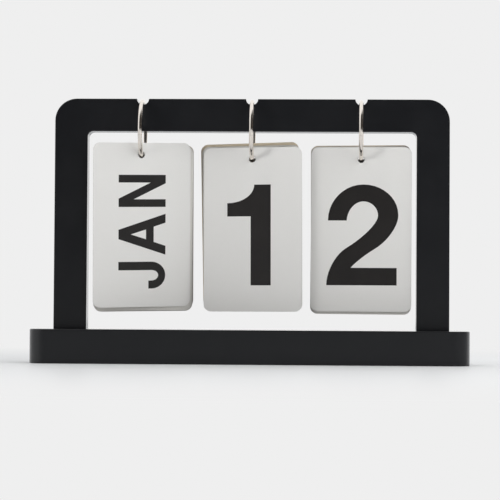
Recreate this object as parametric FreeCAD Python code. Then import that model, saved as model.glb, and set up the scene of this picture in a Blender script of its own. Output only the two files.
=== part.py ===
"""Perpetual desk calendar: a black arch on a base, with three rings of cards.

Millimetres. X runs left to right as the calendar is read, Y runs away from
the reader and Z is up. The origin is on the table, under the middle of the
base. The arch carries three book rings in half-round notches. Months hang on
the left ring, the tens of the date on the middle one, the ones on the right.
"""
import FreeCAD, Part
import math
import os

from FreeCAD import Vector

os.makedirs("parts", exist_ok=True)

# Base board
BASE_LENGTH = 238.0
BASE_DEPTH = 45.0
BASE_THICKNESS = 18.6
BASE_CORNER_RADIUS = 9.0
BASE_EDGE_RADIUS = 0.6

# Arch, sawn in one piece from a thinner board
ARCH_WIDTH = 216.0
ARCH_HEIGHT = 126.2
ARCH_DEPTH = 10.0
ARCH_OFFSET = 0.6
LEG_WIDTH = 18.0
RAIL_HEIGHT = 17.9
ARCH_OUTER_RADIUS = 12.0
ARCH_INNER_RADIUS = 3.0
ARCH_EDGE_RADIUS = 0.4
SOCKET_DEPTH = 2.0

# Screws that hold the legs down, driven from below
SCREW_RADIUS = 1.75
SCREW_CORE_RADIUS = 1.25
SCREW_HEAD_RADIUS = 3.5
SCREW_HEAD_HEIGHT = 2.4
SCREW_HEAD_RECESS = 0.4
SCREW_LENGTH = 38.0
SCREW_THREAD_PITCH = 2.0
SCREW_VALLEY_START = 0.3
SCREW_VALLEY_END = 1.5
SCREW_CREST_START = 1.9
SCREW_POINT = 3.0
SCREW_SLOT_WIDTH = 0.9
SCREW_SLOT_DEPTH = 1.0

# Half-round notches for the rings in the top of the rail
NOTCH_RADIUS = 3.3
NOTCH_SPACING = 59.8

# Book rings: two half circles of wire, hinged behind and snapped in front.
# A ring hangs a little turned in its notch, with its hinge up behind the rail.
RING_RADIUS = 15.6
RING_TURN = 14.0
WIRE_RADIUS = 1.2
SEAT_GAP = 0.03
SEAM_GAP = 0.06
PEG_RADIUS = 0.5
PEG_LENGTH = 1.1
PEG_CLEARANCE = 0.08
KNUCKLE_RADIUS = 1.75
KNUCKLE_HALF_WIDTH = 1.3
TONGUE_HALF_WIDTH = 0.5
KNUCKLE_GAP = 0.05
KNUCKLE_SWEEP_GAP = 0.1
RIVET_RADIUS = 0.5
RIVET_CLEARANCE = 0.05
RIVET_HEAD_RADIUS = 0.95
RIVET_HEAD_HEIGHT = 0.35

# Cards, each with one hole near its upper edge
CARD_WIDTH = 55.0
CARD_HEIGHT = 90.0
CARD_THICKNESS = 0.35
CARD_CORNER_RADIUS = 4.0
HOLE_RADIUS = 1.85
HOLE_FROM_TOP = 6.8
HANG_GAP = 0.25

MONTHS = ["jan", "feb", "mar", "apr", "may", "jun",
          "jul", "aug", "sep", "oct", "nov", "dec"]
TENS = ["1", "2", "3", "0"]
ONES = ["2", "3", "4", "5", "6", "7", "8", "9", "0", "1"]

# One stack per ring. ring_shift is where the wire lies in its notch, and
# ring_yaw turns the whole ring about the vertical. The front card has its own
# place on the wire, and the others follow it from second_y to last_y. Turns,
# rolls and leans are in degrees. A lean takes a card's lower edge backwards.
# front_slide is how far the front card's hole lies to the right of the wire.
# A shift or drop is how far off centre a card's hole is punched. The second
# values belong to the card behind the front one, the back values to the last
# one, and the loose values are added to some of the cards between them.
STACKS = [
    {"name": "month", "labels": MONTHS, "column": -1,
     "ring_shift": -0.5, "ring_yaw": -0.7, "lean": 4.5,
     "front_y": -6.6, "front_turn": 20.0, "front_roll": -1.4,
     "front_slide": 0.1, "front_shift": -0.5, "front_drop": 0.3,
     "second_y": -4.5, "last_y": 5.5, "back_turn": 17.0,
     "second_roll": -1.0, "second_shift": -1.35,
     "back_roll": -1.3, "back_shift": -1.05, "back_drop": 0.0,
     "loose_roll": 0.3, "loose_shift": -0.1, "loose_drop": 1.7},
    {"name": "tens", "labels": TENS, "column": 0,
     "ring_shift": 0.1, "ring_yaw": -0.8, "lean": 0.5,
     "front_y": -1.2, "front_turn": -11.4, "front_roll": -0.2,
     "front_slide": 0.15, "front_shift": -0.2, "front_drop": 0.4,
     "second_y": 1.6, "last_y": 7.6, "back_turn": -9.0,
     "second_roll": -0.5, "second_shift": -0.15,
     "back_roll": -1.2, "back_shift": 1.65, "back_drop": -0.35,
     "loose_roll": 0.2, "loose_shift": 0.1, "loose_drop": 0.5},
    {"name": "ones", "labels": ONES, "column": 1,
     "ring_shift": 0.1, "ring_yaw": -2.0, "lean": 0.5,
     "front_y": -1.2, "front_turn": -4.5, "front_roll": 0.05,
     "front_slide": 0.1, "front_shift": -0.05, "front_drop": 0.05,
     "second_y": 0.0, "last_y": 6.8, "back_turn": -4.5,
     "second_roll": 0.0, "second_shift": 0.0,
     "back_roll": -0.2, "back_shift": 0.35, "back_drop": 0.25,
     "loose_roll": 0.4, "loose_shift": -0.3, "loose_drop": 2.1},
]

# How the looseness goes round from card to card
LOOSE_STEP = 2.4

# How far a cutting solid runs past what it cuts, and how near counts as touching
CUT_PAST = 1.0
TOUCHING = 0.01

# Worked-out places
RAIL_TOP = BASE_THICKNESS + ARCH_HEIGHT
RAIL_BOTTOM = RAIL_TOP - RAIL_HEIGHT
SOCKET_FLOOR = BASE_THICKNESS - SOCKET_DEPTH
RING_INNER = RING_RADIUS - WIRE_RADIUS
WIRE_PLAY = NOTCH_RADIUS - WIRE_RADIUS
X_AXIS = Vector(1, 0, 0)
Y_AXIS = Vector(0, 1, 0)
Z_AXIS = Vector(0, 0, 1)
ORIGIN = Vector(0, 0, 0)


def save(shape, node):
    """Write one node's solids and report their number and volume."""
    shape = shape.removeSplitter()
    shape.exportStep("parts/" + node + ".step")
    print(node, len(shape.Solids), "solids", round(shape.Volume, 2), "mm3",
          "valid" if shape.isValid() else "NOT VALID")
    return shape


def box(low, high):
    """A box between two corners."""
    size = [high[i] - low[i] for i in range(3)]
    return Part.makeBox(size[0], size[1], size[2], Vector(*low))


def rod(radius, start, end):
    """A round bar from one point to another."""
    run = end - start
    return Part.makeCylinder(radius, run.Length, start, run)


def rounded_outline(width, height, radius):
    """A closed wire in the XY plane, centred, with four round corners."""
    x = width / 2
    y = height / 2
    k = radius * (1 - math.sqrt(0.5))
    corners = [
        (Vector(x - radius, -y), Vector(x - k, -y + k), Vector(x, -y + radius)),
        (Vector(x, y - radius), Vector(x - k, y - k), Vector(x - radius, y)),
        (Vector(-x + radius, y), Vector(-x + k, y - k), Vector(-x, y - radius)),
        (Vector(-x, -y + radius), Vector(-x + k, -y + k), Vector(-x + radius, -y)),
    ]
    edges = []
    for i in range(4):
        start, middle, end = corners[i]
        following = corners[(i + 1) % 4][0]
        edges.append(Part.Arc(start, middle, end).toShape())
        edges.append(Part.LineSegment(end, following).toShape())
    return Part.Wire(edges)


def leg_centres():
    """The X of the middle of each leg."""
    reach = (ARCH_WIDTH - LEG_WIDTH) / 2
    return [ARCH_OFFSET - reach, ARCH_OFFSET + reach]


def screw(x):
    """A countersunk screw, its slot on the underside and its point upwards."""
    head_low = SCREW_HEAD_RECESS
    head_high = head_low + SCREW_HEAD_HEIGHT
    tip = head_low + SCREW_LENGTH
    profile = [Vector(0, 0, head_low), Vector(SCREW_HEAD_RADIUS, 0, head_low),
               Vector(SCREW_RADIUS, 0, head_high),
               Vector(SCREW_RADIUS, 0, SOCKET_FLOOR)]
    z = SOCKET_FLOOR
    while z + SCREW_THREAD_PITCH < tip - SCREW_POINT:
        profile.append(Vector(SCREW_CORE_RADIUS, 0, z + SCREW_VALLEY_START))
        profile.append(Vector(SCREW_CORE_RADIUS, 0, z + SCREW_VALLEY_END))
        profile.append(Vector(SCREW_RADIUS, 0, z + SCREW_CREST_START))
        profile.append(Vector(SCREW_RADIUS, 0, z + SCREW_THREAD_PITCH))
        z = z + SCREW_THREAD_PITCH
    profile.append(Vector(SCREW_CORE_RADIUS, 0, tip - SCREW_POINT))
    profile.append(Vector(0, 0, tip))
    profile.append(profile[0])
    body = Part.Face(Part.makePolygon(profile)).revolve(ORIGIN, Z_AXIS, 360)
    body.translate(Vector(x, 0, 0))
    return body


def screw_slot(x):
    """The cut across a screw's head."""
    reach = SCREW_HEAD_RADIUS + CUT_PAST
    half = SCREW_SLOT_WIDTH / 2
    return box((x - reach, -half, 0),
               (x + reach, half, SCREW_HEAD_RECESS + SCREW_SLOT_DEPTH))


def make_base_board():
    """The plank: round corners in plan, eased edges, sockets and screw holes."""
    face = Part.Face(rounded_outline(BASE_LENGTH, BASE_DEPTH, BASE_CORNER_RADIUS))
    board = face.extrude(Vector(0, 0, BASE_THICKNESS))
    rims = [e for e in board.Edges
            if abs(e.BoundBox.ZMin - e.BoundBox.ZMax) < TOUCHING]
    board = board.makeFillet(BASE_EDGE_RADIUS, rims)
    for x in leg_centres():
        board = board.cut(box((x - LEG_WIDTH / 2, -ARCH_DEPTH / 2, SOCKET_FLOOR),
                              (x + LEG_WIDTH / 2, ARCH_DEPTH / 2,
                               BASE_THICKNESS + CUT_PAST)))
        board = board.cut(screw(x))
        board = board.cut(rod(SCREW_HEAD_RADIUS, Vector(x, 0, -CUT_PAST),
                              Vector(x, 0, SCREW_HEAD_RECESS)))
    return board


def arch_blank():
    """The arch's outline with its window, extruded through the board."""
    half = ARCH_WIDTH / 2
    inner = half - LEG_WIDTH
    outer_box = box((-half, -ARCH_DEPTH / 2, SOCKET_FLOOR),
                    (half, ARCH_DEPTH / 2, RAIL_TOP))
    top_corners = [e for e in outer_box.Edges
                   if e.BoundBox.ZMin > RAIL_TOP - TOUCHING
                   and e.BoundBox.YLength > ARCH_DEPTH / 2]
    outer_box = outer_box.makeFillet(ARCH_OUTER_RADIUS, top_corners)
    window = box((-inner, -ARCH_DEPTH, SOCKET_FLOOR - CUT_PAST),
                 (inner, ARCH_DEPTH, RAIL_BOTTOM))
    window_corners = [e for e in window.Edges
                      if e.BoundBox.ZMin > RAIL_BOTTOM - TOUCHING
                      and e.BoundBox.YLength > ARCH_DEPTH / 2]
    window = window.makeFillet(ARCH_INNER_RADIUS, window_corners)
    return outer_box.cut(window)


def ease_arch_edges(arch):
    """Round the long front and back edges of the arch above its sockets."""
    picked = []
    for edge in arch.Edges:
        bounds = edge.BoundBox
        off_face = max(abs(abs(bounds.YMin) - ARCH_DEPTH / 2), bounds.YLength)
        if off_face < TOUCHING and bounds.ZMax > SOCKET_FLOOR + TOUCHING:
            picked.append(edge)
    return arch.makeFillet(ARCH_EDGE_RADIUS, picked)


def make_arch_frame():
    """The arch with its three notches and the pilot holes in its feet."""
    arch = ease_arch_edges(arch_blank())
    half = ARCH_WIDTH / 2
    for side in (-1, 1):
        x = side * (half - LEG_WIDTH / 2)
        foot = box((x - LEG_WIDTH / 2, -ARCH_DEPTH / 2, SOCKET_FLOOR),
                   (x + LEG_WIDTH / 2, ARCH_DEPTH / 2, BASE_THICKNESS + TOUCHING))
        arch = arch.fuse(foot)
    arch = arch.removeSplitter()
    for column in (-1, 0, 1):
        x = column * NOTCH_SPACING
        arch = arch.cut(rod(NOTCH_RADIUS, Vector(x, -ARCH_DEPTH, RAIL_TOP),
                            Vector(x, ARCH_DEPTH, RAIL_TOP)))
    arch.translate(Vector(ARCH_OFFSET, 0, 0))
    for x in leg_centres():
        arch = arch.cut(screw(x))
    return arch


def make_leg_screws():
    """Both screws, as two solids of one node."""
    return Part.makeCompound([screw(x).cut(screw_slot(x)) for x in leg_centres()])


def ring_centre(stack):
    """The middle of a ring that hangs by its inner side in its notch."""
    shift = stack["ring_shift"]
    sideways = abs(math.sin(math.radians(stack["ring_yaw"]))) * ARCH_DEPTH / 2
    climb = WIRE_PLAY - math.sqrt(WIRE_PLAY ** 2 - (abs(shift) + sideways) ** 2)
    fall = math.sqrt(RING_INNER ** 2 - (ARCH_DEPTH / 2) ** 2)
    x = ARCH_OFFSET + stack["column"] * NOTCH_SPACING + shift
    z = RAIL_TOP - NOTCH_RADIUS + climb - fall + SEAT_GAP
    return Vector(x, 0, z)


def half_wire(upper):
    """Half a circle of wire, centred on the origin, in the YZ plane."""
    seam = math.asin(SEAM_GAP / 2 / RING_RADIUS)
    start = seam if upper else math.pi + seam
    middle = start + math.pi / 2 - seam
    end = start + math.pi - 2 * seam
    points = []
    for angle in (start, middle, end):
        points.append(Vector(0, RING_RADIUS * math.cos(angle),
                             RING_RADIUS * math.sin(angle)))
    path = Part.Wire([Part.Arc(points[0], points[1], points[2]).toShape()])
    tangent = Vector(0, -math.sin(start), math.cos(start))
    circle = Part.Wire([Part.makeCircle(WIRE_RADIUS, points[0], tangent)])
    return path.makePipeShell([circle], True, False)


def knuckle(radius, low_x, high_x):
    """A disc about the hinge's axis, at the back of the ring."""
    return rod(radius, Vector(low_x, RING_RADIUS, 0), Vector(high_x, RING_RADIUS, 0))


def make_lower_half():
    """The half that carries the cards, with the fork of the hinge and the peg."""
    half = half_wire(False)
    fork_inner = TONGUE_HALF_WIDTH + KNUCKLE_GAP
    for side in (-1, 1):
        cheek = knuckle(KNUCKLE_RADIUS, side * fork_inner, side * KNUCKLE_HALF_WIDTH)
        half = half.fuse(cheek)
    half = half.cut(knuckle(KNUCKLE_RADIUS + KNUCKLE_SWEEP_GAP, -fork_inner, fork_inner))
    half = half.cut(knuckle(RIVET_RADIUS, -KNUCKLE_HALF_WIDTH, KNUCKLE_HALF_WIDTH))
    peg = rod(PEG_RADIUS, Vector(0, -RING_RADIUS, -PEG_LENGTH),
              Vector(0, -RING_RADIUS, PEG_LENGTH))
    return half.fuse(peg)


def make_upper_half():
    """The half that lies in the notch, with the hinge's tongue and the socket."""
    half = half_wire(True)
    cleared = KNUCKLE_RADIUS + KNUCKLE_SWEEP_GAP
    for side in (-1, 1):
        half = half.cut(knuckle(cleared, side * TONGUE_HALF_WIDTH, side * KNUCKLE_HALF_WIDTH))
    half = half.fuse(knuckle(KNUCKLE_RADIUS, -TONGUE_HALF_WIDTH, TONGUE_HALF_WIDTH))
    half = half.cut(knuckle(RIVET_RADIUS + RIVET_CLEARANCE,
                            -TONGUE_HALF_WIDTH, TONGUE_HALF_WIDTH))
    socket = rod(PEG_RADIUS + PEG_CLEARANCE, Vector(0, -RING_RADIUS, -CUT_PAST),
                 Vector(0, -RING_RADIUS, PEG_LENGTH + PEG_CLEARANCE))
    return half.cut(socket)


def make_rivet():
    """The hinge's pin, with a head on each side."""
    pin = knuckle(RIVET_RADIUS, -KNUCKLE_HALF_WIDTH, KNUCKLE_HALF_WIDTH)
    for side in (-1, 1):
        head = knuckle(RIVET_HEAD_RADIUS, side * KNUCKLE_HALF_WIDTH,
                       side * (KNUCKLE_HALF_WIDTH + RIVET_HEAD_HEIGHT))
        pin = pin.fuse(head)
    return pin


def make_card(hole_shift, hole_drop):
    """An upright card about its own hole, its face towards -Y."""
    outline = rounded_outline(CARD_WIDTH, CARD_HEIGHT, CARD_CORNER_RADIUS)
    card = Part.Face(outline).extrude(Vector(0, 0, CARD_THICKNESS))
    card.translate(Vector(0, 0, -CARD_THICKNESS / 2))
    card.rotate(ORIGIN, X_AXIS, 90)
    middle_below_hole = CARD_HEIGHT / 2 - HOLE_FROM_TOP
    card.translate(Vector(-hole_shift, 0, -middle_below_hole - hole_drop))
    return card.cut(rod(HOLE_RADIUS, Vector(0, -CUT_PAST, 0), Vector(0, CUT_PAST, 0)))


def hole_height(y):
    """How far a hole's centre is below the ring's, with the wire in its top."""
    reach = abs(y) + CARD_THICKNESS
    return math.sqrt(RING_INNER ** 2 - reach ** 2) - HANG_GAP + HOLE_RADIUS


def card_place(stack, index):
    """Where one card of a stack is on the wire and how it hangs there."""
    if index == 0:
        return {"y": stack["front_y"], "slide": stack["front_slide"],
                "turn": stack["front_turn"], "roll": stack["front_roll"],
                "shift": stack["front_shift"], "drop": stack["front_drop"]}
    last = len(stack["labels"]) - 1
    share = (index - 1) / (last - 1)
    rest = 1 - share
    loose = rest * max(0.0, math.sin(LOOSE_STEP * index))
    return {"y": stack["second_y"] + share * (stack["last_y"] - stack["second_y"]),
            "slide": 0.0,
            "turn": stack["back_turn"],
            "roll": (loose * stack["loose_roll"] + rest * stack["second_roll"]
                     + share * stack["back_roll"]),
            "shift": (loose * stack["loose_shift"] + rest * stack["second_shift"]
                      + share * stack["back_shift"]),
            "drop": loose * stack["loose_drop"] + share * stack["back_drop"]}


def hung_card(stack, index):
    """One card of a stack, hung on its ring."""
    place = card_place(stack, index)
    card = make_card(place["shift"], place["drop"])
    card.rotate(ORIGIN, X_AXIS, stack["lean"])
    card.rotate(ORIGIN, Y_AXIS, place["roll"])
    card.rotate(ORIGIN, Z_AXIS, place["turn"])
    centre = ring_centre(stack)
    y = place["y"]
    x = centre.x + place["slide"] - y * math.tan(math.radians(stack["ring_yaw"]))
    card.translate(Vector(x, y, centre.z - hole_height(y)))
    return card


def main():
    save(make_base_board(), "base_board")
    save(make_arch_frame(), "arch_frame")
    save(make_leg_screws(), "leg_screws")
    lower = make_lower_half()
    upper = make_upper_half()
    rivet = make_rivet()
    for stack in STACKS:
        centre = ring_centre(stack)
        print(stack["name"], "ring centre", round(centre.x, 4), round(centre.z, 4))
        for piece, part in ((lower, "lower"), (upper, "upper"), (rivet, "rivet")):
            placed = piece.copy()
            placed.rotate(ORIGIN, X_AXIS, RING_TURN)
            placed.rotate(ORIGIN, Z_AXIS, stack["ring_yaw"])
            placed.translate(centre)
            save(placed, stack["name"] + "_ring_" + part)
        for index, label in enumerate(stack["labels"]):
            save(hung_card(stack, index), stack["name"] + "_card_" + label)


main()
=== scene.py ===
# %% [markdown]
# # A perpetual desk calendar
# A black arch on a base carries three book rings, and a stack of cards hangs on each.
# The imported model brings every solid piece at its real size: boards, rings, screws and
# cards. This lesson adds what the solids don't have: printed ink on all twenty-six
# cards, the finish of each material, soft studio light and a long-lens view. The first
# cell loads the fixed frame. All lengths in it are metres, so a helper turns
# millimetres, the maker's unit, into metres.

# %% Load the fixed frame
import bpy
import math
from mathutils import Matrix, Vector


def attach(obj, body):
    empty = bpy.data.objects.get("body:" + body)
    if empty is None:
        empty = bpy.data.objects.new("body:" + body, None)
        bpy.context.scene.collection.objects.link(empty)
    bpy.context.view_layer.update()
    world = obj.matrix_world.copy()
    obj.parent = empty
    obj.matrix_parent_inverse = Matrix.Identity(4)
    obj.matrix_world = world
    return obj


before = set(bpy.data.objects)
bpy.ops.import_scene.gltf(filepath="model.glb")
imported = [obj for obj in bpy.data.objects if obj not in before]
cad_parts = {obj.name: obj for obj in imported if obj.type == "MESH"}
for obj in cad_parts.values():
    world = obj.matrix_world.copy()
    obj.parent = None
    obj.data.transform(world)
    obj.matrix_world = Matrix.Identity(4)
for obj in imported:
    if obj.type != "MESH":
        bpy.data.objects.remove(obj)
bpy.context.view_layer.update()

MM = 0.001
scene = bpy.context.scene
scene.view_settings.view_transform = "Standard"


def deselect_all():
    """Operators act on all that is selected, so each step starts from nothing."""
    bpy.ops.object.select_all(action="DESELECT")


deselect_all()

# %% [markdown]
# ## Shader helpers
# A material here is a small graph of nodes. Making each node takes several lines, so
# one helper makes a node, sets its inputs and gives it back, and another starts a new
# material around a Principled shader. Patterns read Object coordinates. Every node of
# the frame has its object at the origin, so a pattern keeps its real scale and stays
# on its piece when the piece moves.

# %% Node helpers


def add_node(tree, kind, settings=None, **inputs):
    """Add a node, set its own settings and then its inputs by name."""
    node = tree.nodes.new(kind)
    for name, value in (settings or {}).items():
        setattr(node, name, value)
    for name, value in inputs.items():
        socket = node.inputs[name.replace("_", " ")]
        if isinstance(value, bpy.types.NodeSocket):
            tree.links.new(value, socket)
        else:
            socket.default_value = value
    return node


def math_node(tree, operation, first, second=0.0, clamp=False):
    """A Math node with two inputs, each a number or a socket."""
    node = tree.nodes.new("ShaderNodeMath")
    node.operation = operation
    node.use_clamp = clamp
    for index, value in enumerate((first, second)):
        if isinstance(value, bpy.types.NodeSocket):
            tree.links.new(value, node.inputs[index])
        else:
            node.inputs[index].default_value = value
    return node.outputs[0]


def ramp(tree, value, low, high, from_value=0.0, to_value=1.0):
    """A smooth step of a value, from low to high."""
    node = tree.nodes.new("ShaderNodeMapRange")
    node.interpolation_type = "SMOOTHSTEP"
    tree.links.new(value, node.inputs[0])
    for index, number in enumerate((low, high, from_value, to_value)):
        node.inputs[index + 1].default_value = number
    return node.outputs[0]


def mix_colour(tree, factor, first, second):
    """Blend two colours, each a value or a socket."""
    node = tree.nodes.new("ShaderNodeMix")
    node.data_type = "RGBA"
    for socket, value in ((node.inputs[0], factor), (node.inputs[6], first),
                          (node.inputs[7], second)):
        if isinstance(value, bpy.types.NodeSocket):
            tree.links.new(value, socket)
        else:
            socket.default_value = value
    return node.outputs[2]


def new_material(name, **shader_inputs):
    """A material with one Principled shader, and its tree, shader and coordinates."""
    material = bpy.data.materials.new(name)
    material.use_nodes = True
    tree = material.node_tree
    tree.nodes.clear()
    shader = add_node(tree, "ShaderNodeBsdfPrincipled", **shader_inputs)
    out = add_node(tree, "ShaderNodeOutputMaterial")
    tree.links.new(shader.outputs[0], out.inputs["Surface"])
    place = add_node(tree, "ShaderNodeTexCoord")
    return material, tree, shader, place


def grey(value):
    """A neutral colour."""
    return (value, value, value, 1)


print("shader helpers ready")


# %% [markdown]
# ## Fine tooth, a shared effect
# Rolled paint, card, printed ink and plated wire all have a faint texture at their own
# scale. It could be built again in each material, but one node group with inputs for
# its scale and height keeps them alike. It gives a mask, for colour and roughness, and
# a normal, from a Bump node.

# %% The tooth group


def make_tooth_group():
    """Two sizes of noise: a fine one for bump and a broad one for patchy change."""
    group = bpy.data.node_groups.new("fine_tooth", "ShaderNodeTree")
    face = group.interface
    face.new_socket(name="Coordinates", in_out="INPUT", socket_type="NodeSocketVector")
    for name, value in (("Fine scale", 2000.0), ("Broad scale", 60.0), ("Height", 0.1)):
        socket = face.new_socket(name=name, in_out="INPUT", socket_type="NodeSocketFloat")
        socket.default_value = value
    face.new_socket(name="Fine", in_out="OUTPUT", socket_type="NodeSocketFloat")
    face.new_socket(name="Broad", in_out="OUTPUT", socket_type="NodeSocketFloat")
    face.new_socket(name="Normal", in_out="OUTPUT", socket_type="NodeSocketVector")
    start = group.nodes.new("NodeGroupInput")
    end = group.nodes.new("NodeGroupOutput")
    fine = add_node(group, "ShaderNodeTexNoise", Vector=start.outputs["Coordinates"],
                    Scale=start.outputs["Fine scale"], Detail=3.0, Roughness=0.6)
    broad = add_node(group, "ShaderNodeTexNoise", Vector=start.outputs["Coordinates"],
                     Scale=start.outputs["Broad scale"], Detail=4.0, Roughness=0.55)
    bump = add_node(group, "ShaderNodeBump", Height=fine.outputs["Fac"],
                    Strength=start.outputs["Height"], Distance=0.05 * MM)
    group.links.new(fine.outputs["Fac"], end.inputs["Fine"])
    group.links.new(broad.outputs["Fac"], end.inputs["Broad"])
    group.links.new(bump.outputs["Normal"], end.inputs["Normal"])
    return group


TOOTH = make_tooth_group()
print("shared effect:", TOOTH.name, "with", len(TOOTH.nodes), "nodes")


def add_tooth(tree, place, fine_scale, broad_scale, height):
    """Place the tooth group in a material with that material's own values."""
    node = tree.nodes.new("ShaderNodeGroup")
    node.node_tree = TOOTH
    tree.links.new(place.outputs["Object"], node.inputs["Coordinates"])
    node.inputs["Fine scale"].default_value = fine_scale
    node.inputs["Broad scale"].default_value = broad_scale
    node.inputs["Height"].default_value = height
    return node


def dress(node_names, material):
    """Give carried-over nodes a finish, through their own material slots."""
    for name in node_names:
        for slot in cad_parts[name].material_slots:
            slot.material = material
    print(material.name, "on", len(node_names), "nodes")


# %% [markdown]
# ## Matte black paint
# The boards are painted black and rubbed down, so they are nearly even, with a faint
# roller stipple and slightly paler patches where hands have polished them. Plain black
# would look like a hole in the picture, so the colour is a very dark grey, and the
# roughness wanders a little. One rough layer alone never mirrors the table, as the real
# paint does when it is seen almost flat along its surface. So a thin smooth coat lies
# on it, with an IOR so low that it is barely there when it is looked at squarely.

# %% Paint on the arch and the base


def make_paint():
    """Matte black paint with a fine stipple."""
    material, tree, shader, place = new_material(
        "painted_wood", IOR=1.42, Coat_Weight=1.0, Coat_Roughness=0.1, Coat_IOR=1.18)
    tooth = add_tooth(tree, place, 1800.0, 45.0, 0.35)
    patch = ramp(tree, tooth.outputs["Broad"], 0.3, 0.75)
    colour = mix_colour(tree, patch, (0.0058, 0.0064, 0.0082, 1), (0.0072, 0.0078, 0.0096, 1))
    tree.links.new(colour, shader.inputs["Base Color"])
    rough = ramp(tree, tooth.outputs["Broad"], 0.3, 0.7, 0.3, 0.36)
    tree.links.new(rough, shader.inputs["Roughness"])
    tree.links.new(tooth.outputs["Normal"], shader.inputs["Normal"])
    return material


dress(["base_board", "arch_frame"], make_paint())

# %% [markdown]
# ## Nickel wire
# The rings are bright nickel, a little warm, with faint rub marks along the wire. A
# metal shows the room more than itself, so most of its look is made later by the light.

# %% Nickel and screw steel


def make_nickel():
    """Polished nickel plate with slight haze."""
    material, tree, shader, place = new_material("ring_nickel", Metallic=1.0)
    tooth = add_tooth(tree, place, 2600.0, 300.0, 0.03)
    haze = ramp(tree, tooth.outputs["Broad"], 0.3, 0.75, 0.1, 0.2)
    tree.links.new(haze, shader.inputs["Roughness"])
    tint = mix_colour(tree, tooth.outputs["Fine"], (0.90, 0.84, 0.78, 1),
                      (0.82, 0.76, 0.70, 1))
    tree.links.new(tint, shader.inputs["Base Color"])
    tree.links.new(tooth.outputs["Normal"], shader.inputs["Normal"])
    return material


def make_screw_steel():
    """Zinc plate, duller and greyer than the rings."""
    material, tree, shader, place = new_material("screw_steel", Metallic=1.0)
    tooth = add_tooth(tree, place, 1500.0, 220.0, 0.12)
    tint = mix_colour(tree, tooth.outputs["Broad"], (0.44, 0.43, 0.40, 1),
                      (0.62, 0.60, 0.55, 1))
    tree.links.new(tint, shader.inputs["Base Color"])
    rough = ramp(tree, tooth.outputs["Fine"], 0.3, 0.7, 0.28, 0.45)
    tree.links.new(rough, shader.inputs["Roughness"])
    tree.links.new(tooth.outputs["Normal"], shader.inputs["Normal"])
    return material


dress([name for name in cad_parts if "_ring_" in name], make_nickel())
dress(["leg_screws"], make_screw_steel())

# %% [markdown]
# ## Card
# Each card is thick board with a smooth pale face. Its back is a pale grey board, and
# its cut edges are darker and warmer, because only the face is coated. The Normal
# output of Texture Coordinate is the face direction in the piece's own space, so it can
# tell the face from the edges and the back, and it turns with the card. The last card
# of each stack shows only as a strip at the top or the side, and there it is a dull
# khaki. The cards between are a little darker than the front ones: painted shade for
# the narrow gaps inside each stack.

# %% Card stock


def make_card_stock(name, pale, deep):
    """A coated face between two colours, warm cut edges, a plain back, fine fibres."""
    material, tree, shader, place = new_material(name)
    tooth = add_tooth(tree, place, 1500.0, 35.0, 0.06)
    direction = add_node(tree, "ShaderNodeSeparateXYZ", Vector=place.outputs["Normal"])
    uncoated = ramp(tree, direction.outputs["Y"], -0.9, -0.6)
    face = mix_colour(tree, tooth.outputs["Fine"], deep, pale)
    board = mix_colour(tree, tooth.outputs["Fine"], (0.26, 0.235, 0.20, 1),
                       (0.40, 0.365, 0.31, 1))
    behind = ramp(tree, direction.outputs["Y"], 0.6, 0.9)
    plain_back = mix_colour(tree, tooth.outputs["Broad"], (0.50, 0.485, 0.45, 1),
                            (0.58, 0.565, 0.53, 1))
    board = mix_colour(tree, behind, board, plain_back)
    colour = mix_colour(tree, uncoated, face, board)
    tree.links.new(colour, shader.inputs["Base Color"])
    rough = ramp(tree, tooth.outputs["Broad"], 0.3, 0.7, 0.42, 0.55)
    tree.links.new(rough, shader.inputs["Roughness"])
    tree.links.new(tooth.outputs["Normal"], shader.inputs["Normal"])
    return material


CARDS = [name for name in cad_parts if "_card_" in name]
FRONT_CARDS = ["month_card_jan", "tens_card_1", "ones_card_2"]
LAST_CARDS = ["month_card_dec", "tens_card_0", "ones_card_1"]
# Every card first gets the darker face, which is painted shade for the gaps inside a stack;
# the front and last cards then get their own
dress(CARDS, make_card_stock("card_stock_painted_shade", (0.74, 0.725, 0.69, 1),
                             (0.70, 0.685, 0.65, 1)))
dress(FRONT_CARDS, make_card_stock("card_stock", (0.815, 0.81, 0.795, 1),
                                   (0.78, 0.775, 0.76, 1)))
# The last card of each stack gets a dull khaki face
dress(LAST_CARDS, make_card_stock("card_stock_khaki", (0.84, 0.73, 0.56, 1),
                                  (0.76, 0.655, 0.50, 1)))
# %% [markdown]
# ## The shapes of the printing
# The numbers are a bold plain face, nearly as tall as the card, and the months are
# medium capitals that read upwards. A font file can't be used here, and the built-in
# font is too thin, so each character is drawn as an outline. Its height is 1. An entry
# of two numbers is the next corner. An entry of four numbers is a rounded stretch: the
# corner that it bends towards, then its end. That is how a sign painter thinks of a
# letter, and each outline needs only a few points.

# %% Numbers

STEM = 0.204
BAR = 0.173

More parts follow.
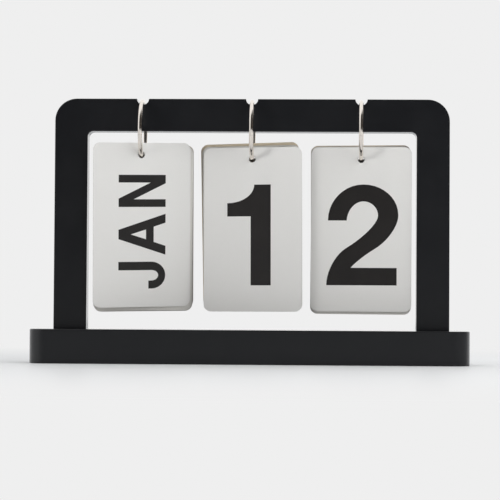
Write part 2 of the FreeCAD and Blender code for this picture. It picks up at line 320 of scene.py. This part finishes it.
DIGITS = {
    "0": [[(0, 0.5), (0, 1, 0.345, 1), (0.69, 1, 0.69, 0.5), (0.69, 0, 0.345, 0),
           (0, 0, 0, 0.5)],
          [(0.2, 0.5), (0.2, 0.845, 0.345, 0.845), (0.49, 0.845, 0.49, 0.5),
           (0.49, 0.155, 0.345, 0.155), (0.2, 0.155, 0.2, 0.5)]],
    "1": [[(0.528, 0), (0.528 - STEM, 0), (0.528 - STEM, 0.685), (0.085, 0.685),
           (0.085, 0.818), (0.36, 0.815, 0.36, 1), (0.528, 1)]],
    "2": [[(0, 0), (0, 0.24, 0.19, 0.365), (0.511, 0.56, 0.511, 0.69),
           (0.51, 0.832, 0.365, 0.832), (0.212, 0.832, 0.2, 0.642), (0.014, 0.642),
           (0.014, 1, 0.365, 1), (0.711, 1, 0.711, 0.697),
           (0.715, 0.5, 0.47, 0.355), (0.3, 0.25, 0.242, BAR), (0.697, BAR),
           (0.697, 0)]],
    "3": [[(0.02, 0.69), (0.02, 1, 0.335, 1), (0.66, 1, 0.66, 0.74),
           (0.66, 0.58, 0.54, 0.53), (0.69, 0.47, 0.69, 0.29), (0.69, 0, 0.345, 0),
           (0, 0, 0, 0.31), (0.195, 0.31), (0.195, 0.155, 0.34, 0.155),
           (0.49, 0.155, 0.49, 0.295), (0.49, 0.44, 0.32, 0.44), (0.255, 0.44),
           (0.255, 0.585), (0.31, 0.585), (0.465, 0.585, 0.465, 0.715),
           (0.465, 0.845, 0.335, 0.845), (0.21, 0.845, 0.21, 0.69)]],
    "4": [[(0.405, 0), (0.405, 0.22), (0, 0.22), (0, 0.385), (0.375, 1), (0.595, 1),
           (0.595, 0.385), (0.72, 0.385), (0.72, 0.22), (0.595, 0.22), (0.595, 0)],
          [(0.405, 0.385), (0.17, 0.385), (0.405, 0.77)]],
    "5": [[(0.09, 1), (0.64, 1), (0.64, 0.835), (0.245, 0.835), (0.22, 0.635),
           (0.28, 0.685, 0.38, 0.685), (0.7, 0.685, 0.7, 0.35), (0.7, 0, 0.345, 0),
           (0, 0, 0, 0.28), (0.2, 0.28), (0.2, 0.155, 0.34, 0.155),
           (0.5, 0.155, 0.5, 0.345), (0.5, 0.53, 0.34, 0.53),
           (0.24, 0.53, 0.205, 0.455), (0.03, 0.46)]],
    "6": [[(0.66, 0.73), (0.64, 1, 0.36, 1), (0, 1, 0, 0.47), (0, 0, 0.355, 0),
           (0.7, 0, 0.7, 0.33), (0.7, 0.655, 0.39, 0.655), (0.26, 0.655, 0.195, 0.56),
           (0.2, 0.85, 0.365, 0.85), (0.46, 0.85, 0.47, 0.73)],
          [(0.2, 0.325), (0.2, 0.51, 0.355, 0.51), (0.505, 0.51, 0.505, 0.325),
           (0.505, 0.15, 0.355, 0.15), (0.2, 0.15, 0.2, 0.325)]],
    "7": [[(0, 1), (0.69, 1), (0.69, 0.85), (0.34, 0.45, 0.3, 0), (0.09, 0),
           (0.14, 0.45, 0.475, 0.832), (0, 0.832)]],
    "8": [[(0.04, 0.74), (0.04, 1, 0.35, 1), (0.66, 1, 0.66, 0.74),
           (0.66, 0.58, 0.54, 0.53), (0.7, 0.47, 0.7, 0.28), (0.7, 0, 0.35, 0),
           (0, 0, 0, 0.28), (0, 0.47, 0.16, 0.53), (0.04, 0.58, 0.04, 0.74)],
          [(0.225, 0.72), (0.225, 0.85, 0.35, 0.85), (0.475, 0.85, 0.475, 0.72),
           (0.475, 0.59, 0.35, 0.59), (0.225, 0.59, 0.225, 0.72)],
          [(0.2, 0.295), (0.2, 0.445, 0.35, 0.445), (0.5, 0.445, 0.5, 0.295),
           (0.5, 0.15, 0.35, 0.15), (0.2, 0.15, 0.2, 0.295)]],
}
DIGIT_BOX = 0.711


def half_turn(outlines, width):
    """The same outlines turned upside down, as a 9 is to a 6."""
    turned = []
    for outline in outlines:
        points = []
        for entry in outline:
            pairs = [(width - entry[i], 1 - entry[i + 1]) for i in range(0, len(entry), 2)]
            points.append(tuple(number for pair in pairs for number in pair))
        turned.append(points)
    return turned


DIGITS["9"] = half_turn(DIGITS["6"], 0.7)

# %% Capitals

WEIGHT = 0.163
ARM = 0.152


def letter_o(width, weight):
    """An outer and an inner oval."""
    outer = [(0, 0.5), (0, 1, width / 2, 1), (width, 1, width, 0.5),
             (width, 0, width / 2, 0), (0, 0, 0, 0.5)]
    inner = [(weight, 0.5), (weight, 1 - weight, width / 2, 1 - weight),
             (width - weight, 1 - weight, width - weight, 0.5),
             (width - weight, weight, width / 2, weight), (weight, weight, weight, 0.5)]
    return [outer, inner]


LETTERS = {
    "A": (0.846, [[(0, 0), (0.184, 0), (0.266, 0.252), (0.58, 0.252), (0.662, 0),
                   (0.846, 0), (0.52, 1), (0.326, 1)],
                  [(0.322, 0.416), (0.423, 0.74), (0.524, 0.416)]]),
    "B": (0.66, [[(0, 0), (0, 1), (0.37, 1), (0.63, 1, 0.63, 0.75),
                  (0.63, 0.58, 0.5, 0.535), (0.66, 0.5, 0.66, 0.28), (0.66, 0, 0.38, 0)],
                 [(0.163, 0.59), (0.163, 0.848), (0.35, 0.848),
                  (0.467, 0.848, 0.467, 0.72), (0.467, 0.59, 0.35, 0.59)],
                 [(0.163, 0.152), (0.163, 0.45), (0.36, 0.45), (0.495, 0.45, 0.495, 0.3),
                  (0.495, 0.152, 0.36, 0.152)]]),
    "C": (0.73, [[(0.73, 0.655), (0.71, 1, 0.38, 1), (0, 1, 0, 0.5), (0, 0, 0.38, 0),
                  (0.71, 0, 0.73, 0.345), (0.565, 0.345), (0.545, 0.152, 0.38, 0.152),
                  (0.165, 0.152, 0.165, 0.5), (0.165, 0.848, 0.38, 0.848),
                  (0.545, 0.848, 0.565, 0.655)]]),
    "D": (0.7, [[(0, 0), (0, 1), (0.3, 1), (0.7, 1, 0.7, 0.5), (0.7, 0, 0.3, 0)],
                [(0.163, 0.152), (0.163, 0.848), (0.3, 0.848), (0.535, 0.848, 0.535, 0.5),
                 (0.535, 0.152, 0.3, 0.152)]]),
    "E": (0.6, [[(0, 0), (0, 1), (0.6, 1), (0.6, 1 - ARM), (WEIGHT, 1 - ARM),
                 (WEIGHT, 0.58), (0.55, 0.58), (0.55, 0.58 - ARM), (WEIGHT, 0.58 - ARM),
                 (WEIGHT, ARM), (0.6, ARM), (0.6, 0)]]),
    "F": (0.57, [[(0, 0), (0, 1), (0.57, 1), (0.57, 1 - ARM), (WEIGHT, 1 - ARM),
                  (WEIGHT, 0.57), (0.51, 0.57), (0.51, 0.57 - ARM), (WEIGHT, 0.57 - ARM),
                  (WEIGHT, 0)]]),
    "G": (0.76, [[(0.75, 0.66), (0.72, 1, 0.385, 1), (0, 1, 0, 0.5), (0, 0, 0.39, 0),
                  (0.62, 0, 0.76, 0.15), (0.76, 0.52), (0.4, 0.52), (0.4, 0.375),
                  (0.6, 0.375), (0.6, 0.24), (0.53, 0.15, 0.39, 0.15),
                  (0.165, 0.15, 0.165, 0.5), (0.165, 0.85, 0.385, 0.85),
                  (0.54, 0.85, 0.585, 0.66)]]),
    "J": (0.556, [[(0.556, 1), (0.383, 1), (0.383, 0.3), (0.383, 0.152, 0.277, 0.152),
                   (0.166, 0.152, 0.166, 0.3), (0.166, 0.36), (0, 0.36), (0, 0.29),
                   (0, 0, 0.277, 0), (0.556, 0, 0.556, 0.3)]]),
    "L": (0.54, [[(0, 0), (0, 1), (WEIGHT, 1), (WEIGHT, ARM), (0.54, ARM), (0.54, 0)]]),
    "M": (0.86, [[(0, 0), (0, 1), (0.235, 1), (0.43, 0.3), (0.625, 1), (0.86, 1),
                  (0.86, 0), (0.704, 0), (0.704, 0.74), (0.504, 0), (0.356, 0),
                  (0.156, 0.74), (0.156, 0)]]),
    "N": (0.66, [[(0, 0), (0, 1), (0.172, 1), (0.502, 0.32), (0.502, 1), (0.66, 1),
                  (0.66, 0), (0.488, 0), (0.158, 0.68), (0.158, 0)]]),
    "O": (0.78, letter_o(0.78, WEIGHT)),
    "P": (0.64, [[(0, 0), (0, 1), (0.36, 1), (0.64, 1, 0.64, 0.69),
                  (0.64, 0.385, 0.36, 0.385), (WEIGHT, 0.385), (WEIGHT, 0)],
                 [(WEIGHT, 0.535), (WEIGHT, 0.848), (0.345, 0.848),
                  (0.477, 0.848, 0.477, 0.69), (0.477, 0.535, 0.345, 0.535)]]),
    "R": (0.68, [[(0, 0), (0, 1), (0.38, 1), (0.65, 1, 0.65, 0.7),
                  (0.65, 0.49, 0.485, 0.435), (0.68, 0), (0.49, 0), (0.315, 0.4),
                  (WEIGHT, 0.4), (WEIGHT, 0)],
                 [(WEIGHT, 0.55), (WEIGHT, 0.848), (0.36, 0.848),
                  (0.487, 0.848, 0.487, 0.7), (0.487, 0.55, 0.36, 0.55)]]),
    "S": (0.64, [[(0.62, 0.69), (0.62, 1, 0.32, 1), (0.02, 1, 0.02, 0.72),
                  (0.02, 0.52, 0.25, 0.455), (0.36, 0.425), (0.475, 0.39, 0.475, 0.285),
                  (0.475, 0.152, 0.32, 0.152), (0.163, 0.152, 0.163, 0.31), (0, 0.31),
                  (0, 0, 0.32, 0), (0.64, 0, 0.64, 0.29), (0.64, 0.49, 0.42, 0.56),
                  (0.29, 0.6), (0.185, 0.63, 0.185, 0.725), (0.185, 0.848, 0.32, 0.848),
                  (0.455, 0.848, 0.455, 0.69)]]),
    "T": (0.64, [[(0.238, 0), (0.238, 1 - ARM), (0, 1 - ARM), (0, 1), (0.64, 1),
                  (0.64, 1 - ARM), (0.402, 1 - ARM), (0.402, 0)]]),
    "U": (0.67, [[(0, 1), (WEIGHT, 1), (WEIGHT, 0.35), (WEIGHT, 0.152, 0.335, 0.152),
                  (0.507, 0.152, 0.507, 0.35), (0.507, 1), (0.67, 1), (0.67, 0.35),
                  (0.67, 0, 0.335, 0), (0, 0, 0, 0.35)]]),
    "V": (0.76, [[(0, 1), (0.185, 1), (0.38, 0.27), (0.575, 1), (0.76, 1),
                  (0.472, 0), (0.288, 0)]]),
    "Y": (0.76, [[(0, 1), (0.2, 1), (0.38, 0.6), (0.56, 1), (0.76, 1), (0.462, 0.4),
                  (0.462, 0), (0.298, 0), (0.298, 0.4)]]),
}
print("characters drawn:", len(DIGITS), "numbers and", len(LETTERS), "capitals")

# %% [markdown]
# ## From outline to ink
# A flat curve in Blender fills its outlines and leaves their holes open, and its
# Extrude gives the ink a thickness. Ink is really far thinner than this, but a little
# body keeps it from flickering against the card. Once it is filled, the curve is made
# a mesh, its doubles are merged and its normals are turned outwards.

# %% Curve helpers

ROUNDNESS = 0.5523
CURVE_STEPS = 10
SAME_POINT = 1e-6
INK_BODY = 0.03 * MM
INK_SINK = 0.01 * MM


def outline_spline(curve, outline, size, shift):
    """Turn one outline into a closed Bezier spline."""
    points = [Vector((outline[0][0], outline[0][1], 0))]
    handles_out = []
    handles_in = [points[0]]
    for entry in outline[1:]:
        start = points[-1]
        end = Vector((entry[-2], entry[-1], 0))
        corner = Vector((entry[0], entry[1], 0))
        if len(entry) == 4:
            handles_out.append(start.lerp(corner, ROUNDNESS))
            handles_in.append(end.lerp(corner, ROUNDNESS))
        else:
            handles_out.append(start)
            handles_in.append(end)
        points.append(end)
    handles_out.append(points[-1])
    if (points[-1] - points[0]).length < SAME_POINT:
        handles_in[0] = handles_in.pop()
        points.pop()
        handles_out.pop()
    spline = curve.splines.new("BEZIER")
    spline.bezier_points.add(len(points) - 1)
    for index, knot in enumerate(spline.bezier_points):
        knot.handle_left_type = "FREE"
        knot.handle_right_type = "FREE"
        knot.co = (points[index] + shift) * size
        knot.handle_left = (handles_in[index] + shift) * size
        knot.handle_right = (handles_out[index] + shift) * size
    spline.use_cyclic_u = True


def flat_print(name, outlines_and_shifts, size):
    """Fill a set of outlines as one thin mesh, centred on the origin."""
    curve = bpy.data.curves.new(name, "CURVE")
    curve.dimensions = "2D"
    curve.fill_mode = "BOTH"
    curve.resolution_u = CURVE_STEPS
    curve.extrude = INK_BODY / 2
    for outlines, shift in outlines_and_shifts:
        for outline in outlines:
            outline_spline(curve, outline, size, shift)
    piece = bpy.data.objects.new(name, curve)
    scene.collection.objects.link(piece)
    deselect_all()
    piece.select_set(True)
    bpy.context.view_layer.objects.active = piece
    bpy.ops.object.convert(target="MESH")
    bpy.ops.object.mode_set(mode="EDIT")
    bpy.ops.mesh.select_all(action="SELECT")
    bpy.ops.mesh.remove_doubles(threshold=INK_BODY / 10)
    bpy.ops.mesh.normals_make_consistent(inside=False)
    bpy.ops.object.mode_set(mode="OBJECT")
    return bpy.context.view_layer.objects.active


def number_outlines(digit):
    """A number in its box, centred."""
    return [(DIGITS[digit], Vector((-DIGIT_BOX / 2, -0.5, 0)))]


LETTER_GAP = 0.142


def word_outlines(word):
    """Capitals side by side, centred as a word."""
    length = sum(LETTERS[letter][0] for letter in word) + LETTER_GAP * (len(word) - 1)
    left = -length / 2
    placed = []
    for letter in word:
        width, outlines = LETTERS[letter]
        placed.append((outlines, Vector((left, -0.5, 0))))
        left += width + LETTER_GAP
    return placed


# %% [markdown]
# ## Where each card faces
# The cards hang at slightly different angles, so the ink can't be placed by eye. Each
# card's own mesh says how it hangs: its front faces give the direction it looks in, its
# right-hand edge gives its width, and the two together give up. The ink is laid in
# those directions on the middle of the card's face.

# %% Card directions


FACING = 0.9


def lean(mesh, picked):
    """The mean direction of some of a mesh's faces, weighted by their area."""
    total = Vector((0, 0, 0))
    for face in mesh.polygons:
        if picked(face.normal):
            total += face.normal * face.area
    return total.normalized()


def card_directions(node):
    """Right, up and outward directions of a card, and the middle of its face."""
    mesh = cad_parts[node].data
    outward = lean(mesh, lambda normal: normal.y < -FACING)
    right = lean(mesh, lambda normal: normal.x > FACING)
    right = (right - outward * right.dot(outward)).normalized()
    up = outward.cross(right)
    middle = Vector((0, 0, 0))
    for axis in (right, up):
        reach = [axis.dot(vertex.co) for vertex in mesh.vertices]
        middle += axis * (min(reach) + max(reach)) / 2
    face_at = max(outward.dot(vertex.co) for vertex in mesh.vertices)
    return right, up, outward, middle + outward * face_at


# %% [markdown]
# ## Ink
# The print is a warm near-black with a dull sheen, a little uneven where it has been
# handled.

# %% Ink material


def make_ink():
    """Printed black with a slight mottle."""
    material, tree, shader, place = new_material("card_ink")
    tooth = add_tooth(tree, place, 1400.0, 120.0, 0.05)
    mottle = ramp(tree, tooth.outputs["Broad"], 0.3, 0.75)
    colour = mix_colour(tree, mottle, (0.0084, 0.0068, 0.0064, 1), (0.0114, 0.0092, 0.0086, 1))
    tree.links.new(colour, shader.inputs["Base Color"])
    rough = ramp(tree, tooth.outputs["Fine"], 0.3, 0.7, 0.36, 0.5)
    tree.links.new(rough, shader.inputs["Roughness"])
    tree.links.new(tooth.outputs["Normal"], shader.inputs["Normal"])
    return material


INK = make_ink()
print("ink:", INK.name)

# %% Print every card

DIGIT_HEIGHT = 55.2 * MM
DIGIT_DROP = 3.0 * MM
DIGIT_SIDE = 0.65 * MM
WORD_HEIGHT = 26.6 * MM
WORD_DROP = 3.7 * MM


def print_card(node):
    """Lay a card's number or month on its face and let it ride with the card."""
    stack, label = node.split("_card_")
    right, up, outward, middle = card_directions(node)
    if stack == "month":
        ink = flat_print("ink_" + node, word_outlines(label.upper()), WORD_HEIGHT)
        across, along = up, -right
        middle = middle - up * WORD_DROP
    else:
        ink = flat_print("ink_" + node, number_outlines(label), DIGIT_HEIGHT)
        across, along = right, up
        middle = middle - up * DIGIT_DROP + right * DIGIT_SIDE
    middle = middle + outward * (INK_BODY / 2 - INK_SINK)
    turn = Matrix((across, along, outward)).transposed()
    ink.data.transform(Matrix.Translation(middle) @ turn.to_4x4())
    ink.data.materials.clear()
    ink.data.materials.append(INK)
    body = stack + "_" + label
    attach(ink, body)
    return ink


PRINTS = [print_card(node) for node in CARDS]
print("printed:", len(PRINTS))

# %% [markdown]
# ## Floor
# The calendar stands on a pale, faintly glossy table. Near the object the table takes
# real light, so it holds the contact shadow. Further out it fades to the plain
# background colour for the camera alone, which hides where the floor ends. A weak
# glossy layer mirrors the foot of the calendar.

# %% The table

BACKGROUND = 0.863
FLOOR_SIZE = 6.0
FADE_START = 0.1
FADE_END = 0.42
FADE_SHAPE = (0.55, 1.0, 1.0)
TABLE_COLOUR = (0.86, 0.875, 0.89, 1)
GLOSS_SHARE = 0.16
GLOSS_ROUGHNESS = 0.3


def make_floor():
    """A big plane under the calendar."""
    deselect_all()
    bpy.ops.mesh.primitive_plane_add(size=FLOOR_SIZE, location=(0, 0, 0))
    floor = bpy.context.active_object
    floor.name = "table"
    material = bpy.data.materials.new("table_top")
    material.use_nodes = True
    tree = material.node_tree
    tree.nodes.clear()
    place = add_node(tree, "ShaderNodeTexCoord")
    squeezed = add_node(tree, "ShaderNodeMapping", Vector=place.outputs["Object"],
                        Scale=FADE_SHAPE)
    away = add_node(tree, "ShaderNodeVectorMath", {"operation": "LENGTH"})
    tree.links.new(squeezed.outputs[0], away.inputs[0])
    rays = add_node(tree, "ShaderNodeLightPath")
    fade = ramp(tree, away.outputs["Value"], FADE_START, FADE_END)
    shown = math_node(tree, "MULTIPLY", fade, rays.outputs["Is Camera Ray"])
    matte = add_node(tree, "ShaderNodeBsdfDiffuse", Color=TABLE_COLOUR)
    gloss = add_node(tree, "ShaderNodeBsdfGlossy", Color=grey(1.0),
                     Roughness=GLOSS_ROUGHNESS)
    body = add_node(tree, "ShaderNodeMixShader", Fac=GLOSS_SHARE)
    tree.links.new(matte.outputs[0], body.inputs[1])
    tree.links.new(gloss.outputs[0], body.inputs[2])
    plain = add_node(tree, "ShaderNodeEmission", Color=grey(BACKGROUND))
    top = add_node(tree, "ShaderNodeMixShader")
    tree.links.new(shown, top.inputs[0])
    tree.links.new(body.outputs[0], top.inputs[1])
    tree.links.new(plain.outputs[0], top.inputs[2])
    out = add_node(tree, "ShaderNodeOutputMaterial")
    tree.links.new(top.outputs[0], out.inputs["Surface"])
    floor.data.materials.append(material)
    return floor


make_floor()
print("table:", FLOOR_SIZE, "m across")

# %% [markdown]
# ## Light
# The light comes from above, from behind and from both sides, like a white tent that
# is open towards the reader, and the cards grow darker towards the bottom. An even
# world lights a card evenly, so the world here is dim in front and three lamps do the
# rest. A wide one at the right lights the month cards, which are turned that way. A
# beam from the left ends softly above the base, and that gives the fall of light down
# the cards. A small one from above gives the rings their faint shadow. Nickel and paint
# show what stands round them: bright walls, and a dark room behind the camera. That
# room is painted in the world's colour by direction, and only glossy rays see it.

# %% World

FILL = 0.93
FRONT_SHADE = 0.1
ROOM_WALLS = 1.0
DARK_ROOM = (0.05, 0.045, 0.042, 1)

# Where each part of the world begins and ends, as directions from -1 to 1
SHADE_REACH = (-0.8, 0.1)
CEILING_EDGE = (0.8, 0.95)
TABLE_EDGE = (-0.12, 0.02)
ROOM_EDGE = (-0.5, -0.2)
ROOM_SWING = -0.7


def make_world():
    """Plain background, soft fill and a room for reflections."""
    world = bpy.data.worlds.new("studio")
    scene.world = world
    world.use_nodes = True
    tree = world.node_tree
    tree.nodes.clear()
    place = add_node(tree, "ShaderNodeTexCoord")
    way = add_node(tree, "ShaderNodeSeparateXYZ", Vector=place.outputs["Generated"])
    below_ceiling = ramp(tree, way.outputs["Z"], *CEILING_EDGE, 1.0, 0.0)
    above_table = ramp(tree, way.outputs["Z"], *TABLE_EDGE)
    swing = math_node(tree, "MULTIPLY", way.outputs["X"], ROOM_SWING)
    heading = math_node(tree, "ADD", way.outputs["Y"], swing)
    to_reader = ramp(tree, heading, *ROOM_EDGE, 1.0, 0.0)
    dark = math_node(tree, "MULTIPLY", below_ceiling, above_table)
    dark = math_node(tree, "MULTIPLY", dark, to_reader)
    room = mix_colour(tree, dark, grey(ROOM_WALLS), DARK_ROOM)
    in_front = ramp(tree, way.outputs["Y"], *SHADE_REACH, FRONT_SHADE, 1.0)
    strength = math_node(tree, "MULTIPLY", in_front, FILL)
    fill = add_node(tree, "ShaderNodeCombineColor")
    for channel in fill.inputs:
        tree.links.new(strength, channel)
    rays = add_node(tree, "ShaderNodeLightPath")
    fill_or_room = mix_colour(tree, rays.outputs["Is Glossy Ray"], fill.outputs[0], room)
    seen = math_node(tree, "MAXIMUM", rays.outputs["Is Camera Ray"],
                     rays.outputs["Is Transmission Ray"])
    colour = mix_colour(tree, seen, fill_or_room, grey(BACKGROUND))
    backdrop = add_node(tree, "ShaderNodeBackground", Color=colour)
    out = add_node(tree, "ShaderNodeOutputWorld")
    tree.links.new(backdrop.outputs[0], out.inputs["Surface"])


make_world()
print("world:", scene.world.name, "with", len(scene.world.node_tree.nodes), "nodes")

# %% Lamps

SIDE_PLACE = (0.95, -0.55, 0.35)
SIDE_AIM = (0, 0, 0.07)
SIDE_SIZE = 1.3
SIDE_POWER = 10.8
SIDE_TINT = (1.0, 0.99, 0.97)
ACCENT_PLACE = (-0.42, -0.5, 1.0)
ACCENT_AIM = (0, 0, 0.08)
ACCENT_SIZE = 0.12
ACCENT_POWER = 0.9
ACCENT_TINT = (1.0, 0.98, 0.95)
KEY_PLACE = (-0.75, -0.65, 0.30)
KEY_AIM = (0, 0, 0.30)
KEY_CONE = math.radians(28)
KEY_RADIUS = 0.26
KEY_POWER = 34.0
KEY_TINT = (1.0, 0.985, 0.96)


def add_lamp(name, kind, place, aim, power, tint):
    """A lamp that faces a point. The camera and mirrored rays don't see it."""
    deselect_all()
    bpy.ops.object.light_add(type=kind, location=place)
    lamp = bpy.context.active_object
    lamp.name = name
    lamp.data.energy = power
    lamp.data.color = tint
    way = Vector(aim) - Vector(place)
    lamp.rotation_euler = way.to_track_quat("-Z", "Y").to_euler()
    lamp.visible_camera = False
    lamp.visible_glossy = False
    print("lamp:", name, power, "W")
    return lamp


def add_square_lamp(name, place, aim, size, power, tint):
    """A square lamp: the wider it is, the softer its shadows are."""
    lamp = add_lamp(name, "AREA", place, aim, power, tint)
    lamp.data.shape = "SQUARE"
    lamp.data.size = size


def add_key():
    """A beam from the left that fades out just above the base."""
    lamp = add_lamp("key", "SPOT", KEY_PLACE, KEY_AIM, KEY_POWER, KEY_TINT)
    lamp.data.spot_size = KEY_CONE
    lamp.data.spot_blend = 1.0
    lamp.data.shadow_soft_size = KEY_RADIUS


add_square_lamp("side", SIDE_PLACE, SIDE_AIM, SIDE_SIZE, SIDE_POWER, SIDE_TINT)
add_square_lamp("accent", ACCENT_PLACE, ACCENT_AIM, ACCENT_SIZE, ACCENT_POWER, ACCENT_TINT)
add_key()

# %% [markdown]
# ## View
# The photograph is taken with a long lens from about a metre, low over the table and
# slightly to the right, and tipped up a little. A camera's own axes are its right, its
# up and the opposite of where it looks, so they are worked out from three small angles
# and set as its matrix.

# %% Camera

VIEW_DISTANCE = 1050 * MM
VIEW_HEIGHT = 30.4 * MM
VIEW_SIDE = math.radians(1.74)
VIEW_YAW = math.radians(1.75)
VIEW_PITCH = math.radians(1.74)
VIEW_ROLL = math.radians(0.366)
FOCAL_PIXELS = 1915.5
FRAME_PIXELS = 500.0
SENSOR_WIDTH = 36.0


def make_camera():
    """The long-lens view of the calendar."""
    deselect_all()
    bpy.ops.object.camera_add()
    camera = bpy.context.active_object
    camera.name = "view"
    camera.data.sensor_width = SENSOR_WIDTH
    camera.data.lens = SENSOR_WIDTH * FOCAL_PIXELS / FRAME_PIXELS
    place = Vector((VIEW_DISTANCE * math.sin(VIEW_SIDE),
                    -VIEW_DISTANCE * math.cos(VIEW_SIDE), VIEW_HEIGHT))
    look = Vector((-math.sin(VIEW_YAW) * math.cos(VIEW_PITCH),
                   math.cos(VIEW_YAW) * math.cos(VIEW_PITCH), math.sin(VIEW_PITCH)))
    level = Vector((math.cos(VIEW_YAW), math.sin(VIEW_YAW), 0))
    upright = level.cross(look)
    right = level * math.cos(VIEW_ROLL) + upright * math.sin(VIEW_ROLL)
    up = upright * math.cos(VIEW_ROLL) - level * math.sin(VIEW_ROLL)
    turn = Matrix((right, up, -look)).transposed().to_4x4()
    camera.matrix_world = Matrix.Translation(place) @ turn
    scene.camera = camera
    print("camera: lens", round(camera.data.lens, 1), "mm")


make_camera()
